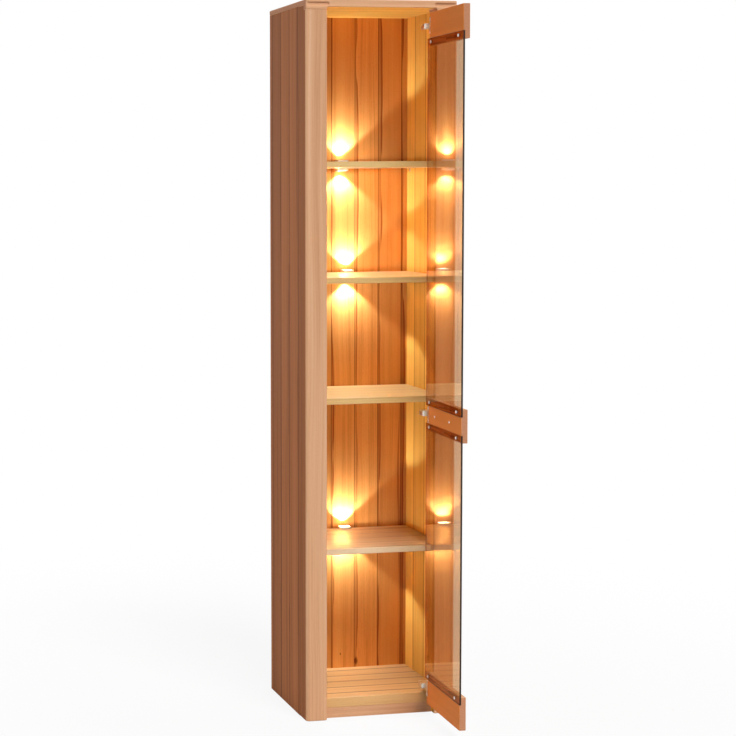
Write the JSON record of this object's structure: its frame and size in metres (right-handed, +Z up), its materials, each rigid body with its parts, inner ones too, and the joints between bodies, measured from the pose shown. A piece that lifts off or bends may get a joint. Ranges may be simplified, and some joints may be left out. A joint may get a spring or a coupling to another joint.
{
  "type": "display cabinet",
  "caption": "Tall narrow display cabinet in solid wood with an open bronze glass door, shelves and small clip lamps",
  "frame": {"origin": "on the floor, at the middle of the width, in the plane of the back edges", "axes": "+Z up from the floor, +X to the right seen from the front, the front looks along -Y"},
  "size_m": [0.435, 0.6701, 2],
  "materials": {
    "beech_side": "oiled beech staves, satin",
    "beech_post": "oiled beech, satin",
    "beech_board": "oiled beech staves, satin",
    "beech_back": "oiled knotty beech staves, satin",
    "beech_door": "oiled beech, satin",
    "dowel_wood": "plain turned beech",
    "bronze_glass": "clear bronze tint, polished edges",
    "nickel": "satin nickel",
    "handle_metal": "brushed",
    "lamp_metal": "fine brushed",
    "lamp_lens": "clear with a warm light behind it"
  },
  "bodies": {
    "cabinet": {"side_panel_left": "beech_side", "side_panel_right": "beech_side", "front_post_left": "beech_post", "front_post_right": "beech_post", "top_board": "beech_post", "bottom_board": "beech_board", "plinth_front": "beech_board", "plinth_rear": "beech_board", "shelf_1": "beech_board", "shelf_2": "beech_board", "shelf_3": "beech_board", "shelf_4": "beech_board", "back_panel": "beech_back", "top_dowels": "dowel_wood", "bottom_dowels": "dowel_wood", "shelf_supports": "nickel", "hinge_arm_screws": "nickel", "hinge_top_arm": "nickel", "hinge_top_pin": "nickel", "hinge_middle_arm": "nickel", "hinge_middle_pin": "nickel", "hinge_bottom_arm": "nickel", "hinge_bottom_pin": "nickel", "lamp_1_clip": "lamp_metal", "lamp_1_heads": "lamp_metal", "lamp_2_clip": "lamp_metal", "lamp_2_heads": "lamp_metal", "lamp_3_clip": "lamp_metal", "lamp_3_heads": "lamp_metal", "lamp_1_lenses": "lamp_lens", "lamp_2_lenses": "lamp_lens", "lamp_3_lenses": "lamp_lens"},
    "door": {"door_rail_top": "beech_door", "door_rail_middle": "beech_door", "door_rail_bottom": "beech_door", "glass_upper": "bronze_glass", "glass_lower": "bronze_glass", "glass_screws": "nickel", "hinge_leaf_screws": "nickel", "hinge_top_leaf": "nickel", "hinge_middle_leaf": "nickel", "hinge_bottom_leaf": "nickel", "door_handle": "handle_metal", "handle_screws": "nickel"}
  },
  "joints": [
    {"name": "door_hinge", "type": "hinge", "parent": "cabinet", "child": "door", "pos_m": [0.1455, -0.37, 0.855], "axis": [0, 0, 1], "range_deg": [-88, 8]}
  ]
}
